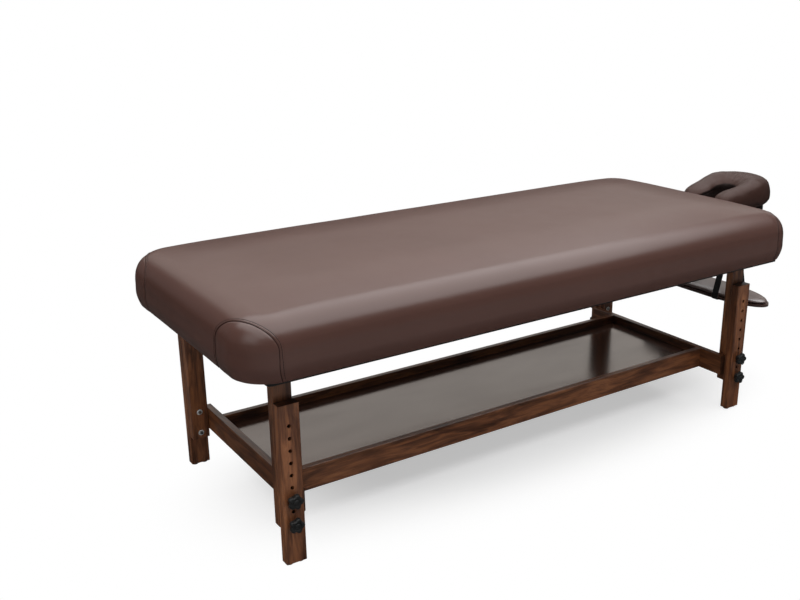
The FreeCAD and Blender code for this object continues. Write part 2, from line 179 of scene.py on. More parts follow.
def leather_look(name, dark, light, rough, ior, relief=1.0, slot_shade=None, tint=(1.0, 1.0, 1.0)):
    """Smooth synthetic leather: shallow pebble grain, faint cloudiness, soft sheen.

    The mesh attribute named by that argument marks where near-black painted shade, standing in for
    the shadow inside the headrest's slot, takes the leather's place.
    """
    look = Look(name)
    cloud = look.noise(3.2, 3.0)
    speck = look.noise(SPECKS, 2.0)
    base = look.mix(look.span(cloud, 0.3, 0.7), dark, light)
    base = look.mix(look.span(speck, 0.2, 0.8, 0.0, 0.16), base, shaded(dark, 0.6))
    # Painted shade: near-black where the attribute marks the slot's shadowed walls.
    if slot_shade:
        base = look.mix(look.attribute(slot_shade), base, SLOT_PAINTED_SHADE)
    cells = look.out("TexVoronoi", {"Vector": look.place, "Scale": PEBBLES},
                     feature="DISTANCE_TO_EDGE")
    grain = look.span(cells, 0.0, 0.28)
    fold = look.noise(FOLDS, 3.0, 0.55)
    normal = look.bump(fold, 0.06 * relief, 0.004)
    normal = look.bump(grain, 0.10 * relief, 0.00035, normal)
    rough = look.span(look.noise(9.0, 4.0), 0.25, 0.75, *rough)
    return look.finish(base, rough, normal, IOR=ior, Specular_Tint=tint)


# The colour ramp's two ends, and the stop that is added between them.
WOOD_STOPS = ((0.22, (0.034, 0.0108, 0.0050)), (0.92, (0.340, 0.128, 0.048)),
              (0.55, (0.160, 0.0565, 0.0225)))
PORE, KNOT, END_GRAIN = (0.012, 0.005, 0.003), (0.011, 0.0042, 0.0028), (0.010, 0.0045, 0.003)


def wood_look(name, axis, shift=0.0, shade=1.0):
    """Walnut-stained solid wood with growth rings, pores and knots along one axis; a shade below
    one darkens the whole stain as painted shade.
    """
    look = Look(name)
    moved = look.out("Mapping", {"Vector": look.place,
                                 "Location": (shift, 0.7 * shift, 1.3 * shift)})

    def drawn_out(vector, share):
        return look.stretch(vector, [share if i == axis else 1.0 for i in range(3)])
    bend = look.add("TexNoise", {"Vector": drawn_out(moved, 0.12),
                                 "Scale": 9.0, "Detail": 2.0}).outputs[1]
    bent = look.out("VectorMath", {0: bend, "Scale": 0.055}, operation="SCALE")
    warped = look.out("VectorMath", {0: moved, 1: bent}, operation="ADD")
    streak = drawn_out(warped, 0.12)
    rings = look.noise(46.0, 5.0, 0.60, 0.7, at=streak)
    bands = look.math("PINGPONG", look.times(rings, 5.0), 1.0)
    figure = look.noise(15.0, 3.0, 0.6, at=streak)
    pores = look.noise(420.0, 2.0, 0.7, at=drawn_out(warped, 0.03))
    pores = look.span(pores, 0.56, 0.72)
    knot = look.out("TexVoronoi", {"Vector": drawn_out(warped, 0.45),
                                   "Scale": 7.5, "Randomness": 1.0})
    knot = look.span(knot, 0.06, 0.24, 1.0, 0.0)
    fibres = look.noise(190.0, 3.0, 0.65, at=drawn_out(warped, 0.035))
    tone = look.math("ADD", look.times(bands, 0.40), look.times(figure, 0.62))
    tone = look.math("ADD", tone, look.times(fibres, 0.42))
    tone = look.math("SUBTRACT", tone, 0.14)
    ramp = look.add("ValToRGB", {0: tone})
    stops = ramp.color_ramp.elements
    for index, (position, stain) in enumerate(WOOD_STOPS):
        stop = stops[index] if index < 2 else stops.new(position)
        stop.position, stop.color = position, (*shaded(stain, shade), 1.0)
    wood = look.mix(look.times(pores, 0.55), ramp.outputs[0], PORE)
    wood = look.mix(look.times(knot, 0.72), wood, KNOT)
    end_grain = look.span(look.math("ABSOLUTE", look.facing(axis)), 0.55, 0.85)
    wood = look.mix(look.times(end_grain, 0.74), wood, END_GRAIN)
    height = look.math("SUBTRACT", look.times(bands, 0.25), pores)
    normal = look.bump(height, 0.22, 0.0005)
    rough = look.math("ADD", figure, look.times(pores, 0.3))
    rough = look.span(rough, 0.2, 1.0, 0.27, 0.50)
    return look.finish(wood, rough, normal, IOR=1.50, Coat_Weight=0.22, Coat_Roughness=0.20)


def board_look():
    """Dark coated shelf board: a glossy film over faint straight grain."""
    look = Look("shelf_board")
    streak = look.noise(120.0, 4.0, 0.6, 0.3, at=look.stretch(look.place, (0.05, 1.0, 1.0)))
    cloud = look.noise(2.4, 3.0)
    base = look.mix(look.span(streak, 0.32, 0.68),
                    (0.066, 0.0268, 0.0160), (0.098, 0.0410, 0.0250))
    base = look.mix(look.span(cloud, 0.3, 0.7, 0.0, 0.4), base, (0.080, 0.034, 0.021))
    smear = look.noise(11.0, 4.0, 0.6, at=look.stretch(look.place, (0.3, 1.0, 1.0)))
    rough = look.span(smear, 0.25, 0.8, 0.15, 0.21)
    normal = look.bump(look.noise(26.0, 3.0), 0.02, 0.002)
    normal = look.bump(streak, 0.03, 0.0002, normal)
    return look.finish(base, rough, normal, IOR=2.25, Specular_Tint=(1.0, 0.90, 0.85))


def black_board_look():
    """Black-faced fibreboard with a faint pressed texture and dust."""
    look = Look("black_board")
    cells = look.noise(380.0, 3.0, 0.6)
    dust = look.span(look.noise(6.0, 5.0, 0.6), 0.45, 0.8)
    base = look.mix(dust, (0.010, 0.0095, 0.0092), (0.021, 0.0195, 0.0185))
    rough = look.span(cells, 0.2, 0.8, 0.42, 0.62)
    normal = look.bump(cells, 0.12, 0.0003)
    return look.finish(base, rough, normal)


def covered_board_look(name, dark, light):
    """Board with the pad's cover drawn over its edge and a black lining underneath."""
    look = Look(name)
    below = look.span(look.facing(2), -0.80, -0.60, 1.0, 0.0)
    cloud = look.span(look.noise(9.0, 3.0), 0.3, 0.7)
    cover = look.mix(cloud, dark, light)
    weave = look.noise(900.0, 2.0, 0.6)
    base = look.mix(below, cover, (0.010, 0.0095, 0.0095))
    rough = look.span(weave, 0.2, 0.8, 0.32, 0.46)
    normal = look.bump(weave, 0.10, 0.0003)
    return look.finish(base, rough, normal, IOR=1.60)


def moulded_look(name, dark, light, rough):
    """Moulded plastic: fine spark-eroded texture, slight tone change."""
    look = Look(name)
    tone = look.noise(55.0, 3.0)
    spark = look.noise(1500.0, 2.0, 0.6)
    base = look.mix(look.span(tone, 0.3, 0.7), dark, light)
    rough = look.span(spark, 0.25, 0.75, *rough)
    normal = look.bump(spark, 0.14, 0.00015)
    return look.finish(base, rough, normal)


def metal_look(name, shade, scratch_scale, rough):
    """Drawn metal with fine scratches and a little tarnish."""
    look = Look(name)
    scratch = look.noise(scratch_scale, 4.0, 0.65, at=look.stretch(look.place, (1.0, 0.08, 1.0)))
    stain = look.noise(60.0, 4.0, 0.6)
    base = look.mix(look.span(stain, 0.35, 0.75), shade, shaded(shade, 0.72))
    rough = look.span(scratch, 0.25, 0.75, *rough)
    normal = look.bump(scratch, 0.06, 0.0001)
    return look.finish(base, rough, normal, Metallic=1.0)


def foam_look():
    """Open-celled yellow foam."""
    look = Look("foam")
    cells = look.out("TexVoronoi", {"Vector": look.place, "Scale": 900.0})
    base = look.mix(look.noise(14.0, 3.0),
                    (0.56, 0.47, 0.28), (0.66, 0.58, 0.39))
    normal = look.bump(cells, 0.4, 0.0008)
    return look.finish(base, rough=0.92, normal=normal)


def ply_look():
    """Plywood with its layers on edge."""
    look = Look("deck_wood")
    layers = look.noise(22.0, 4.0, 0.6, at=look.stretch(look.place, (0.08, 0.5, 30.0)))
    base = look.mix(look.span(layers, 0.35, 0.65),
                    (0.28, 0.17, 0.085), (0.47, 0.32, 0.18))
    normal = look.bump(layers, 0.15, 0.0006)
    return look.finish(base, rough=0.62, normal=normal)


def webbing_look():
    """Black woven webbing: ribs across and a twill along, from the strap's own coordinates."""
    look = Look("webbing")
    along = look.attribute("along")
    across = look.attribute("across")
    ribs = look.math("PINGPONG", look.times(along, 620.0), 1.0)
    lanes = look.math("PINGPONG", look.math("ADD", look.times(across, 900.0),
                                            look.times(along, 310.0)), 1.0)
    weave = look.times(look.span(ribs, 0.0, 1.0), look.span(lanes, 0.0, 1.0))
    fuzz = look.noise(900.0, 3.0, 0.7)
    tone = look.math("ADD", look.times(weave, 0.7), look.times(fuzz, 0.3))
    base = look.mix(tone, (0.0055, 0.0054, 0.0056), (0.024, 0.0235, 0.024))
    normal = look.bump(weave, 0.45, 0.0005)
    return look.finish(base, rough=0.66, normal=normal, Sheen_Weight=0.18)


def thread_look(name, shade):
    """Twisted sewing thread."""
    look = Look(name)
    twist = look.noise(2600.0, 2.0)
    base = look.mix(twist, shade, shaded(shade, 1.7))
    return look.finish(base, rough=0.55, normal=look.bump(twist, 0.3, 0.0001))


LEATHER = leather_look("pad_cover", (0.085, 0.0364, 0.0272), (0.091, 0.0393, 0.0296),
                       rough=(0.28, 0.32), ior=1.58, relief=0.60)
CUSHION_LEATHER = leather_look("cushion_cover", (0.038, 0.0163, 0.0121), (0.042, 0.0181, 0.0136),
                               rough=(0.40, 0.46), ior=1.37, relief=0.60,
                               slot_shade="slot_shade", tint=(1.0, 0.82, 0.78))
SLING_LEATHER = leather_look("sling_cover", (0.120, 0.0640, 0.0530), (0.128, 0.0680, 0.0560),
                             rough=(0.36, 0.41), ior=2.60, relief=0.20)
# Near-black colour for the shadow lines in the gusset seams and in the groove beside their
# stitches: painted shade.
SEAM_SHADOW_LOOK = leather_look("seam_shadow", (0.020, 0.0085, 0.0065), (0.026, 0.0110, 0.0085),
                    rough=(0.55, 0.65), ior=1.30)
THREAD = thread_look("seam_thread", (0.020, 0.009, 0.007))
BLACK_THREAD = thread_look("webbing_thread", (0.008, 0.008, 0.008))
# The shelf's end rails (y-axis wood) and the two near upper legs get darker copies of the same
# stain: painted shade.
WOOD = [wood_look("stained_wood_" + letter, axis, shift=0.37 * axis, shade=shade)
        for axis, (letter, shade) in enumerate((("x", 1.0), ("y", 0.70), ("z", 1.0)))]
UPPER_WOOD_PAINTED_SHADE = wood_look("stained_wood_upper_painted_shade", 2, shift=1.91, shade=0.74)
BOARD = board_look()
BLACK_BOARD = black_board_look()
SLING_BOARD = covered_board_look("sling_board_cover",
                                 (0.060, 0.0280, 0.0220), (0.070, 0.0330, 0.0260))
PLASTIC = moulded_look("black_plastic",
                       (0.011, 0.0115, 0.0115), (0.019, 0.020, 0.020), (0.34, 0.52))
GLIDE = moulded_look("glide_plastic", (0.070, 0.069, 0.066), (0.130, 0.128, 0.122), (0.40, 0.60))
STEEL = metal_look("steel", (0.56, 0.56, 0.55), 500.0, (0.22, 0.40))
ALLOY = metal_look("cradle_alloy", (0.42, 0.42, 0.43), 300.0, (0.30, 0.46))
# Pale non-metal grey for the stud inserts: painted reflection in place of the shine of their metal.
INSERT_PAINTED_REFLECTION = moulded_look("insert_painted_reflection", (0.52, 0.52, 0.51), (0.66, 0.66, 0.65), (0.26, 0.40))
FOAM = foam_look()
PLY = ply_look()
WEBBING = webbing_look()

NODE_LOOKS = {
    "foam_core": FOAM, "deck": PLY,
    "base_panel": BLACK_BOARD, "leg_cross_rail": BLACK_BOARD, "cradle_platform": BLACK_BOARD,
    "sling_board": SLING_BOARD, "upper_leg": WOOD[2], "lower_leg": WOOD[2],
    "upper_leg_foot_near": UPPER_WOOD_PAINTED_SHADE, "upper_leg_head_near": UPPER_WOOD_PAINTED_SHADE,
    "shelf_long_rail": WOOD[0], "shelf_end_rail": WOOD[1], "shelf_panel": BOARD,
    "knob_stud": STEEL, "leg_head_bolts": STEEL, "cradle_tilt_rod": STEEL,
    "cradle_dowels": ALLOY, "cradle_crossbar": ALLOY, "cradle_arms": ALLOY,
    "cradle_lever": PLASTIC, "cradle_sockets": PLASTIC, "knob": PLASTIC,
    "foot_glides": GLIDE, "cover": LEATHER,
    "cradle_cushion": CUSHION_LEATHER, "sling_pad": SLING_LEATHER, "sling_straps": WEBBING}
for node_name, node_object in nodes.items():
    kind = max((key for key in NODE_LOOKS if node_name.startswith(key)), key=len)
    slots = node_object.data.materials
    if not slots:
        slots.append(None)
    for index in range(len(slots)):
        slots[index] = NODE_LOOKS[kind]


# ---- mesh helpers
def mesh_object(name, verts, faces, material):
    """New smooth mesh in the part's frame."""
    mesh = bpy.data.meshes.new(name)
    mesh.from_pydata([tuple(v) for v in verts], [], [tuple(f) for f in faces])
    mesh.validate()
    mesh.update()
    mesh.materials.append(material)
    mesh.polygons.foreach_set("use_smooth", [True] * len(mesh.polygons))
    return placed(name, mesh)


def piece(name, verts, faces, body, slot, material):
    """Mesh of the part that is seen, riding on a body if one is named."""
    made = mesh_object(name, verts, faces, material)
    if body:
        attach(made, body)
    return made


def vectors_of(items, key):
    flat = np.empty(len(items) * 3)
    items.foreach_get(key, flat)
    return flat.reshape(-1, 3)


def coords_of(mesh):
    return vectors_of(mesh.vertices, "co")


def normals_of(mesh):
    return vectors_of(mesh.vertex_normals, "vector")


def set_coords(mesh, co):
    mesh.vertices.foreach_set("co", co.ravel())
    mesh.update()


def cosines(count):
    """Cosine and sine of equal steps round a circle."""
    turns = [2.0 * math.pi * k / count for k in range(count)]
    return [(math.cos(turn), math.sin(turn)) for turn in turns]


def tube_faces(rings, count):
    """Quads between closed rings of equal count."""
    faces = []
    for a in range(0, (rings - 1) * count, count):
        for i in range(count):
            j = (i + 1) % count
            faces.append((a + i, a + j, a + count + j, a + count + i))
    return faces


def capped_faces(rings, count):
    """Tube with a face over each end."""
    ends = [tuple(range(count))[::-1], tuple((rings - 1) * count + k for k in range(count))]
    return tube_faces(rings, count) + ends


STITCH_SIDES, STITCH_BEND, STITCH_TIP = 6, 1.6, 0.04
STITCH_STATIONS = ((-0.5, 0.0), (-0.46, 0.55), (-0.30, 0.95), (0.0, 1.0),
                   (0.30, 0.95), (0.46, 0.55), (0.5, 0.0))


def capsule(verts, faces, middle, tangent, normal, length, radius):
    """One stitch: a short rounded rod that lies on a surface, its ends drawn in."""
    side = tangent.cross(normal).normalized()
    base = len(verts)
    for share, girth in STITCH_STATIONS:
        centre = middle + tangent * (share * length)
        centre = centre - normal * (radius * STITCH_BEND * (2.0 * share) ** 4)
        reach = radius * max(girth, STITCH_TIP)
        for u, v in cosines(STITCH_SIDES):
            verts.append(centre + (side * u + normal * v) * reach)
    for face in capped_faces(len(STITCH_STATIONS), STITCH_SIDES):
        faces.append(tuple(base + i for i in face))


def clamp(value):
    return min(max(value, 0.0), 1.0)


def walk(points, step):
    """Points at equal steps along a polyline, with tangents."""
    spans = [(b - a).length for a, b in zip(points, points[1:])]
    total = sum(spans)
    marks = []
    count = int(total / step)
    reached, index = 0.0, 0
    for k in range(count):
        want = (k + 0.5) * total / count
        while index < len(spans) - 1 and reached + spans[index] < want:
            reached += spans[index]
            index += 1
        share = (want - reached) / max(spans[index], 1e-9)
        a, b = points[index], points[index + 1]
        marks.append((a.lerp(b, clamp(share)), (b - a).normalized()))
    return marks


def smooth_coords(mesh, co, rounds):
    """Neighbour averaging along mesh edges, half-way each round."""
    edges = np.empty(len(mesh.edges) * 2, np.int64)
    mesh.edges.foreach_get("vertices", edges)
    a, b = edges.reshape(-1, 2).T
    count = np.bincount(np.concatenate((a, b)), minlength=len(co)).astype(float)
    for _ in range(rounds):
        total = np.zeros_like(co)
        np.add.at(total, a, co[b])
        np.add.at(total, b, co[a])
        co = co + 0.5 * (total / count[:, None] - co)
    return co


def tree_of(mesh):
    return BVHTree.FromPolygons([tuple(v) for v in coords_of(mesh)],
                                [tuple(p.vertices) for p in mesh.polygons])


def refine(made):
    """One level of subdivision."""
    level = made.modifiers.new("fine", "SUBSURF")
    level.levels = level.render_levels = 1


# ---- padded top
top_low, top_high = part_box("cover_main")
TABLE_X = (top_low.x + top_high.x) / 2
HALF_X, HALF_Y, PLAN_R = 0.925, 0.400, 0.104
HEM_Z, EDGE_Z, ROLL = 0.512, 0.652, 0.078
HEM_DRAW, HEM_RISE = 0.009, 0.040
CROWN, CROWN_FROM, CROWN_RUN, CROWN_EASE, CROWN_POWER = 0.0203, 0.056, 0.210, 0.26, 2.2
CROWN_ABOVE = 0.6
SHOULDER = 2.35
WRAP_Z, WRAP_LEAST = 0.5116, 0.0015
BASE_X, BASE_Y = 0.8665, 0.3825
HEM_FOLD = ((0.0012, 0.0), (0.0002, 0.0006))
SIDE_FROM, SIDE_STEP, SIDE_SWELL, HEM_POWER = 0.0018, 0.0024, 0.0012, 1.7
ROLL_STEPS, FLAT_STEP, FLAT_INSET = 52, 0.0055, 0.100
GRID_GAP, GRID_X, GRID_Y = 0.012, 78, 30
FINE, COARSE, FINE_REACH = 0.0022, 0.0125, 0.085
GUSSET_HALF, GUSSET_SPRING, GUSSET_APEX, GUSSET_SHIFT = 0.085, 0.586, 0.643, 0.027
ARCH_STEPS, ARCH_FOOT, RAY_START = 260, 0.001, 0.2


def plan_columns():
    """Outline points, outward normals and the wrap's depth under the hem, anticlockwise."""
    columns = []
    for quarter, (sx, sy) in enumerate(((1, 1), (-1, 1), (-1, -1), (1, -1))):
        centre = Vector((sx * (HALF_X - PLAN_R), sy * (HALF_Y - PLAN_R)))
        begin = quarter * math.pi / 2
        count = int(PLAN_R * math.pi / 2 / FINE)
        for k in range(count):
            turn = begin + math.pi / 2 * k / count
            normal = Vector((math.cos(turn), math.sin(turn)))
            inner = min((BASE_X - HALF_X + PLAN_R) / max(abs(normal.x), TINY),
                        (BASE_Y - HALF_Y + PLAN_R) / max(abs(normal.y), TINY))
            wrap = max(HEM_DRAW + WRAP_LEAST, PLAN_R - inner)
            columns.append((centre + normal * PLAN_R, normal, wrap))
        turn = begin + math.pi / 2
        normal = Vector((round(math.cos(turn)), round(math.sin(turn))))
        start = centre + normal * PLAN_R
        if abs(normal.y) > 0.5:
            run, wrap = Vector((-2 * start.x, 0.0)), HALF_Y - BASE_Y
        else:
            run, wrap = Vector((0.0, -2 * start.y)), HALF_X - BASE_X
        length = run.length
        middle = int((length - 2 * FINE_REACH) / COARSE)
        marks = list(np.arange(0.0, FINE_REACH, FINE))
        marks += list(np.linspace(FINE_REACH, length - FINE_REACH, middle))
        marks += list(length - np.arange(FINE, FINE_REACH, FINE)[::-1])
        columns += [(start + run * (mark / length), normal, wrap) for mark in marks]
    return columns


def side_profile():
    """Rings of (inset, height) from the hem's fold to the flat of the top; None marks the wrap."""
    rings = [None] + [(HEM_DRAW + inset, WRAP_Z + rise) for inset, rise in HEM_FOLD]
    for z in np.arange(HEM_Z + SIDE_FROM, EDGE_Z - ROLL, SIDE_STEP):
        share = min((z - HEM_Z) / HEM_RISE, 1.0)
        height = min((z - HEM_Z) / (EDGE_Z - ROLL - HEM_Z), 1.0)
        swell = SIDE_SWELL * math.sin(math.pi * height)
        rings.append((HEM_DRAW * (1.0 - share) ** HEM_POWER - swell, z))
    for k in range(ROLL_STEPS + 1):
        turn = math.pi / 2 * k / ROLL_STEPS
        inset = ROLL * (1.0 - max(math.cos(turn), 0.0) ** (2.0 / SHOULDER))
        rings.append((inset, EDGE_Z - ROLL * (1.0 - math.sin(turn) ** (2.0 / SHOULDER))))
    return rings + [(inset, EDGE_Z) for inset in np.arange(ROLL + FLAT_STEP, FLAT_INSET, FLAT_STEP)]


def crown_height(x, y):
    """Low dome over the flat of the top, eased in from all four edges."""
    def rise(depth):
        t = (depth - CROWN_FROM) / CROWN_RUN
        t = min(0.5 * (t + math.hypot(t, CROWN_EASE)), 1.0)
        return 1.0 - (1.0 - t) ** CROWN_POWER
    return CROWN * rise(HALF_X - abs(x)) * rise(HALF_Y - abs(y))


def padded_top():
    """Cover from the wrap under its hem to the crown, as vertices and faces."""
    columns = plan_columns()
    rings = side_profile()
    count = len(columns)
    verts = []
    for ring in rings:
        for point, normal, wrap in columns:
            inset, z = (wrap, WRAP_Z) if ring is None else ring
            at = point - normal * inset
            verts.append((at.x, at.y, z + (crown_height(at.x, at.y) if z > CROWN_ABOVE else 0.0)))
    faces = tube_faces(len(rings), count)
    rim = (len(rings) - 1) * count
    flat = [Vector(verts[rim + i][:2]) for i in range(count)]
    inner_x = HALF_X - FLAT_INSET - GRID_GAP
    inner_y = HALF_Y - FLAT_INSET - GRID_GAP
    for x in np.linspace(-inner_x, inner_x, GRID_X):
        for y in np.linspace(-inner_y, inner_y, GRID_Y):
            flat.append(Vector((x, y)))
    edges = [(i, (i + 1) % count) for i in range(count)]
    points, _, tris, origin, _, _ = geometry.delaunay_2d_cdt(flat, edges, [], 1, 1e-7)
    number = {}
    for i, point in enumerate(points):
        if origin[i] and origin[i][0] < count:
            number[i] = rim + origin[i][0]
        else:
            number[i] = len(verts)
            verts.append((point.x, point.y, EDGE_Z + crown_height(point.x, point.y)))
    for tri in tris:
        face = [number[i] for i in tri]
        if len(set(face)) == len(face):
            faces.append(face)
    return [(x + TABLE_X, y, z) for x, y, z in verts], faces


def arch_points(sx, sy, tree):
    """Where the gusset's arch meets the cover, along one corner's diagonal."""
    across = Vector((sx, -sy, 0.0)).normalized()
    out = Vector((sx, sy, 0.0)).normalized()
    middle = Vector((sx * HALF_X + TABLE_X, sy * HALF_Y, 0.0)) + across * GUSSET_SHIFT
    straight = GUSSET_SPRING - HEM_Z - ARCH_FOOT
    quarter = GUSSET_HALF * math.pi / 2
    found = []
    for k in range(ARCH_STEPS + 1):
        share = 2.0 * k / ARCH_STEPS - 1.0
        length = abs(share) * (straight + quarter)
        if length > quarter:
            u, z = math.copysign(GUSSET_HALF, share), GUSSET_SPRING - (length - quarter)
        else:
            turn = length / GUSSET_HALF
            u = math.copysign(GUSSET_HALF * math.sin(turn), share)
            z = GUSSET_SPRING + (GUSSET_APEX - GUSSET_SPRING) * math.cos(turn)
        start = middle + across * u + Vector((0, 0, z)) + out * RAY_START
        hit, normal, _, _ = tree.ray_cast(start, -out)
        if hit is not None:
            found.append((hit, normal))
    return found


def in_gusset(p, sx, sy):
    """True below the arch of one corner's gusset."""
    across = Vector((sx, -sy)).normalized()
    corner = Vector((sx * HALF_X + TABLE_X, sy * HALF_Y)) + across * GUSSET_SHIFT
    u = (Vector((p[0], p[1])) - corner).dot(across)
    if abs(u) >= GUSSET_HALF:
        return False
    arch = math.sqrt(1.0 - (u / GUSSET_HALF) ** 2)
    return p[2] < GUSSET_SPRING + (GUSSET_APEX - GUSSET_SPRING) * arch


def uneven(p, scale, seed):
    x, y, z = p
    return noise.noise(Vector((x * scale + seed, y * scale - seed, z * scale + 0.5 * seed)))


def waves(p, layers):
    """Sum of noise layers, each an amount, a scale and a seed."""
    return sum(amount * uneven(p, scale, seed) for amount, scale, seed in layers)


def bell(value, width):
    return math.exp(-(value / width) ** 2)


STITCH, STITCH_PITCH, STITCH_R, STITCH_OFF, STITCH_LIFT = 0.0056, 0.0066, 0.00080, 0.0075, 0.0003
# Radii and sinking of the near-black tubes that paint shade into the seams and the stitch groove.
SEAM_SHADOW_R, SEAM_SHADOW_SINK = 0.0012, 0.0004
GROOVE_SHADOW_R, GROOVE_SHADOW_SINK = 0.0009, 0.0004
LINE_SIDES, LINE_MEAN, UP_MEAN, SEWN_MEAN = 8, 5, 9, 7
CORNER_DROP = 0.03
COVER_WAVES = ((0.0007, 3.1, 4.0), (0.00035, 9.0, 11.0))
SIDE_WAVES, SIDE_SQUASH = ((0.0005, 16.0, 2.0),), np.array((1.6, 1.6, 0.35))
STILL_BELOW = WRAP_Z + 0.0005
SEAM_REACH, SEAM_DEEP, SEAM_WIDE = 0.10, 0.0015, 0.0021
PUCKERS, PUCKER_WIDE = ((0.00035, 70.0, 7.0),), 0.010
PANEL_SWELL, PANEL_WIDE = 0.0009, 0.018
WELT, WELT_AT, WELT_WIDE = 0.0006, 0.0045, 0.0026
SEWN_DEEP, SEWN_WIDE = 0.0005, 0.0016


def sew_corners(mesh):
    """Pull the cover in along the gusset seams and let the sewn panels swell between them."""
    co = coords_of(mesh)
    normal = normals_of(mesh)
    tree = tree_of(mesh)
    seam = []
    for _, sx, sy in CORNERS:
        seam += [(hit, sx, sy) for hit, _ in arch_points(sx, sy, tree)]
    near = kdtree.KDTree(len(seam))
    for i, (hit, _, _) in enumerate(seam):
        near.insert(hit, i)
    near.balance()
    lift = np.zeros(len(co))
    for i, p in enumerate(co):
        if p[2] < STILL_BELOW:
            continue
        lift[i] += waves(p, COVER_WAVES)
        if p[2] < GUSSET_SPRING:
            lift[i] += waves(p * SIDE_SQUASH, SIDE_WAVES)
        _, index, gap = near.find(p)
        if gap > SEAM_REACH:
            continue
        _, sx, sy = seam[index]
        lift[i] -= SEAM_DEEP * bell(gap, SEAM_WIDE)
        lift[i] += waves(p, PUCKERS) * bell(gap, PUCKER_WIDE)
        if in_gusset(p, sx, sy):
            lift[i] += PANEL_SWELL * (1.0 - bell(gap, PANEL_WIDE))
        else:
            lift[i] += WELT * bell(gap - WELT_AT, WELT_WIDE)
            lift[i] -= SEWN_DEEP * bell(gap - STITCH_OFF, SEWN_WIDE)
    set_coords(mesh, co + normal * lift[:, None])


top_cover = piece("top_cover", *padded_top(), None, "pad_cover", LEATHER)
sew_corners(top_cover.data)
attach(top_cover, "table")
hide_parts("cover_main", "cover_corner_gussets")

cover_tree = tree_of(top_cover.data)


def running_mean(points, reach):
    """Points averaged with their neighbours along a line; the ends stay near their place."""
    made = []
    for i in range(len(points)):
        span = min(reach, i, len(points) - 1 - i)
        total = sum(points[i - span:i + span + 1], Vector((0.0, 0.0, 0.0)))
        made.append(total / (2 * span + 1))
    return made


def tube(track, radius):
    """Thin round line along points that lie on the cover."""
    verts = []
    last = len(track) - 1
    for i, (point, up) in enumerate(track):
        tangent = (track[min(i + 1, last)][0] - track[max(i - 1, 0)][0]).normalized()
        side = tangent.cross(up).normalized()
        verts += [point + (side * u + up * v) * radius for u, v in cosines(LINE_SIDES)]
    return verts, capped_faces(len(track), LINE_SIDES)


for place, sx, sy in CORNERS:
    arch = arch_points(sx, sy, cover_tree)
    # A near-black tube sunk in the seam: painted shade where the seam's valley lies in shadow.
    sunk = [(hit - up * SEAM_SHADOW_SINK, up) for hit, up in arch]
    piece("gusset_seam_shadow_" + place, *tube(sunk, SEAM_SHADOW_R), "table", "pad_cover", SEAM_SHADOW_LOOK)
    corner = Vector((sx * HALF_X + TABLE_X, sy * HALF_Y, GUSSET_SPRING - CORNER_DROP))
    line = running_mean([hit for hit, _ in arch], LINE_MEAN)
    ups = [up.normalized() for up in running_mean([up for _, up in arch], UP_MEAN)]
    track = []
    for i in range(2, len(line) - 2):
        tangent = line[i + 2] - line[i - 2]
        away = tangent.cross(ups[i]).normalized()
        if away.dot(line[i] - corner) < 0.0:
            away = -away
        track.append(cover_tree.find_nearest(line[i] + away * STITCH_OFF)[0])
    sewn = running_mean(track, SEWN_MEAN)
    # A near-black tube sunk in the groove beside the stitch line: painted shade.
    groove_shadow = []
    for point in sewn:
        hit, up, _, _ = cover_tree.find_nearest(point)
        groove_shadow.append((hit - up * GROOVE_SHADOW_SINK, up))
    piece("gusset_groove_shadow_" + place, *tube(groove_shadow, GROOVE_SHADOW_R), "table", "pad_cover", SEAM_SHADOW_LOOK)
    verts, faces = [], []
    for middle, tangent in walk(sewn, STITCH_PITCH):
        hit, up, _, _ = cover_tree.find_nearest(middle)
        tangent = (tangent - up * tangent.dot(up)).normalized()
        capsule(verts, faces, hit + up * STITCH_LIFT, tangent, up, STITCH, STITCH_R)
    piece("gusset_stitch_" + place, verts, faces, "table", "pad_cover", THREAD)


# ---- cushions puffed by cloth simulation
WELD = 2e-5


def remeshed(node, name, voxel, material):
    """Welded copy of a CAD node with an even mesh."""
    mesh = nodes[node].data.copy()
    bm = bmesh.new()
    bm.from_mesh(mesh)
    bmesh.ops.remove_doubles(bm, verts=bm.verts, dist=WELD)
    bm.to_mesh(mesh)
    bm.free()
    made = placed(name, mesh)
    modifier = made.modifiers.new("even", "REMESH")
    modifier.mode = "VOXEL"
    modifier.voxel_size = voxel
    graph = bpy.context.evaluated_depsgraph_get()
    even = bpy.data.meshes.new_from_object(made.evaluated_get(graph))
    made.modifiers.clear()
    made.data = even
    even.name = name
    even.materials.clear()
    even.materials.append(material)
    even.polygons.foreach_set("use_smooth", [True] * len(even.polygons))
    return made


CLOTH = {"quality": 5, "mass": 0.3, "tension_stiffness": 18.0, "compression_stiffness": 18.0,
         "shear_stiffness": 8.0, "bending_stiffness": 0.8, "use_pressure": True,
         "vertex_group_mass": "held"}


